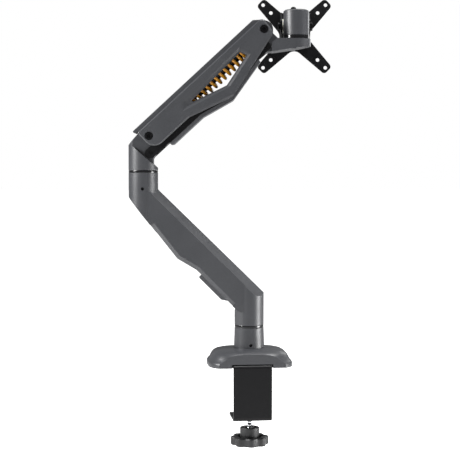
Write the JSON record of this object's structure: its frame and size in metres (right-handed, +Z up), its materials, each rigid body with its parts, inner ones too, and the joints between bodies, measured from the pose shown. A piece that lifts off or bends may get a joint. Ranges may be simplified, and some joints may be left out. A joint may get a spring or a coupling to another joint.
{
  "type": "monitor arm",
  "caption": "Desk-clamp monitor arm with a fixed lower arm, a coil-spring parallelogram upper arm and a tilting, turning plate for the display.",
  "frame": {"origin": "on the base swivel axis, at the underside of the base pad, which is the desk surface", "axes": "+Z up along the base swivel; the lower arm leans towards -X, the upper arm back towards +X, and the display plate faces +Y"},
  "size_m": [0.3199, 0.118, 0.7033],
  "materials": {
    "textured_paint": "fine-textured powder coat, anthracite",
    "black_paint": "satin black powder coat",
    "dark_plastic": "moulded, fine grain, dark grey",
    "black_plastic": "moulded, matt black",
    "gloss_ring": "polished black",
    "nylon": "moulded, natural",
    "bright_chrome": "bright plated",
    "blackened_steel": "black oxide",
    "ground_steel": "ground",
    "spring_paint": "orange spring paint",
    "black_rubber": "matt"
  },
  "bodies": {
    "base": {"base_cover": "textured_paint", "base_plate": "black_paint", "base_pad": "black_rubber", "base_post": "textured_paint", "post_screws": "blackened_steel", "bracket_screws": "blackened_steel", "clamp_bracket": "black_paint", "clamp_nut": "black_paint", "post_bush": "nylon", "post_set_screw": "blackened_steel", "base_washer": "gloss_ring"},
    "clamp_pad": {"grip_disc": "black_paint", "grip_rubber": "black_rubber"},
    "clamp_screw": {"clamp_screw": "bright_chrome", "clamp_knob": "black_plastic"},
    "lower_arm": {"lower_arm": "textured_paint", "lower_pin": "ground_steel", "cable_clip": "dark_plastic", "elbow_bush": "nylon", "elbow_set_screw": "blackened_steel", "elbow_washer": "gloss_ring"},
    "knuckle": {"knuckle": "textured_paint", "elbow_pin": "ground_steel", "lift_bushes": "nylon", "link_pin": "blackened_steel", "rod_pin": "ground_steel"},
    "upper_arm": {"upper_channel": "textured_paint", "side_panel_front": "textured_paint", "side_panel_rear": "textured_paint", "lift_bolt": "blackened_steel", "tip_bolt": "blackened_steel", "spring_block": "black_paint"},
    "spring_seat": {"spring_seat": "black_plastic", "guide_tube": "black_plastic", "spring": "spring_paint"},
    "adjuster": {"adjuster_bolt": "blackened_steel"},
    "lower_link": {"lower_link": "black_paint", "link_cover": "dark_plastic"},
    "push_rod": {"push_rod": "black_paint"},
    "head_bracket": {"head_bracket": "textured_paint", "tip_bush": "nylon", "link_tip_pin": "blackened_steel", "head_pin": "ground_steel", "head_washer": "gloss_ring"},
    "tilt_housing": {"tilt_housing": "textured_paint", "head_bush": "nylon", "head_cap": "dark_plastic", "stop_screw": "blackened_steel"},
    "tilt_yoke": {"tilt_yoke": "black_paint", "tilt_bolt": "blackened_steel", "tilt_washers": "nylon", "plate_washer": "black_paint", "plate_bolt": "blackened_steel", "plate_nut": "black_paint"},
    "vesa": {"vesa_plate": "black_paint"}
  },
  "joints": [
    {"name": "base_swivel", "type": "hinge", "parent": "base", "child": "lower_arm", "pos_m": [0, 0, 0.06], "axis": [0, 0, 1], "range_deg": [-180, 180]},
    {"name": "elbow_swivel", "type": "hinge", "parent": "lower_arm", "child": "knuckle", "pos_m": [-0.1655, 0, 0.3026], "axis": [0, 0, 1], "range_deg": [-180, 180]},
    {"name": "lift", "type": "hinge", "parent": "knuckle", "child": "upper_arm", "pos_m": [-0.1553, 0, 0.3575], "axis": [0, -1, 0], "range_deg": [-80, 0], "deforming": ["spring"]},
    {"name": "link_swing", "type": "hinge", "parent": "knuckle", "child": "lower_link", "pos_m": [-0.1537, 0, 0.3311], "axis": [0, -1, 0], "range_deg": [-80, 0]},
    {"name": "rod_swing", "type": "hinge", "parent": "knuckle", "child": "push_rod", "pos_m": [-0.1548, 0, 0.347], "axis": [0, -1, 0], "range_deg": [-80, 0]},
    {"name": "head_level", "type": "hinge", "parent": "upper_arm", "child": "head_bracket", "pos_m": [0.02255, 0, 0.52162], "axis": [0, -1, 0], "range_deg": [0, 80]},
    {"name": "head_swivel", "type": "hinge", "parent": "head_bracket", "child": "tilt_housing", "pos_m": [0.07305, 0, 0.5138], "axis": [0, 0, 1], "range_deg": [-180, 0]},
    {"name": "head_tilt", "type": "hinge", "parent": "tilt_housing", "child": "tilt_yoke", "pos_m": [0.07305, 0.034, 0.532], "axis": [1, 0, 0], "range_deg": [-35, 45]},
    {"name": "screen_turn", "type": "hinge", "parent": "tilt_yoke", "child": "vesa", "pos_m": [0.07305, 0.0645, 0.519], "axis": [0, 1, 0], "range_deg": [-90, 90]},
    {"name": "clamp_travel", "type": "slide", "parent": "base", "child": "clamp_pad", "axis": [0, 0, 1], "range_m": [-0.031, 0.015]},
    {"name": "clamp_turn", "type": "hinge", "parent": "clamp_pad", "child": "clamp_screw", "pos_m": [0.00084, -0.00796, -0.1], "axis": [0, 0, 1], "range_deg": [-8928, 4320]},
    {"name": "seat_travel", "type": "slide", "parent": "upper_arm", "child": "spring_seat", "axis": [-0.7349, 0, -0.6782], "range_m": [0, 0.006], "deforming": ["spring"]},
    {"name": "adjuster_turn", "type": "hinge", "parent": "upper_arm", "child": "adjuster", "pos_m": [0.00039, 0, 0.49844], "axis": [-0.7349, 0, -0.6782], "range_deg": [0, 1728]}
  ],
  "couplings": [
    {"joint": "link_swing", "follows": "lift", "ratio": 1},
    {"joint": "rod_swing", "follows": "lift", "ratio": 1},
    {"joint": "head_level", "follows": "lift", "ratio": -1},
    {"joint": "clamp_turn", "follows": "clamp_travel", "rad_per_m": 5026.5},
    {"joint": "adjuster_turn", "follows": "seat_travel", "rad_per_m": 5026.5}
  ]
}
